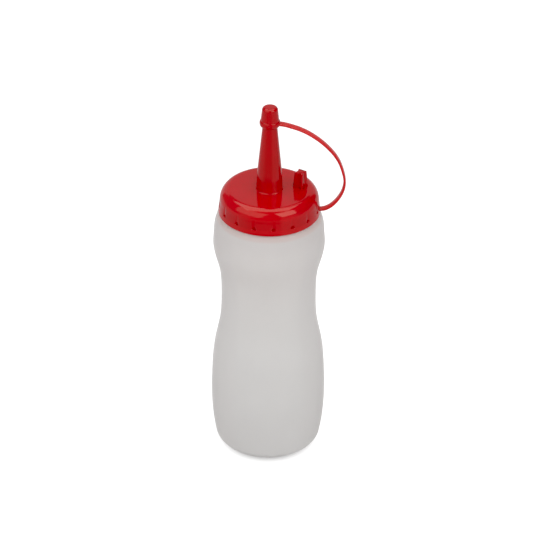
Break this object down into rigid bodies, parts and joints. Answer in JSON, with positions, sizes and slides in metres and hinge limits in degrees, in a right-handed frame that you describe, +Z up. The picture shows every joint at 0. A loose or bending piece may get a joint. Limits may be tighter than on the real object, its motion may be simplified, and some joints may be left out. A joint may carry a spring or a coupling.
{
  "type": "squeeze bottle",
  "caption": "Waisted squeeze bottle of frosted plastic with a red screw closure, a tall tapered nozzle and a tip cap tethered by a looped strap.",
  "frame": {"origin": "centre of the flat base that the bottle stands on, on the bottle's axis", "axes": "+Z up along the bottle's axis; +X towards the side the strap loops out to; -Y towards the front"},
  "size_m": [0.076, 0.066, 0.2221],
  "materials": {
    "frosted_plastic": "natural translucent polyethylene, satin outside",
    "red_plastic": "glossy moulded red plastic"
  },
  "bodies": {
    "root": {"bottle": "frosted_plastic", "closure": "red_plastic"}
  },
  "joints": []
}
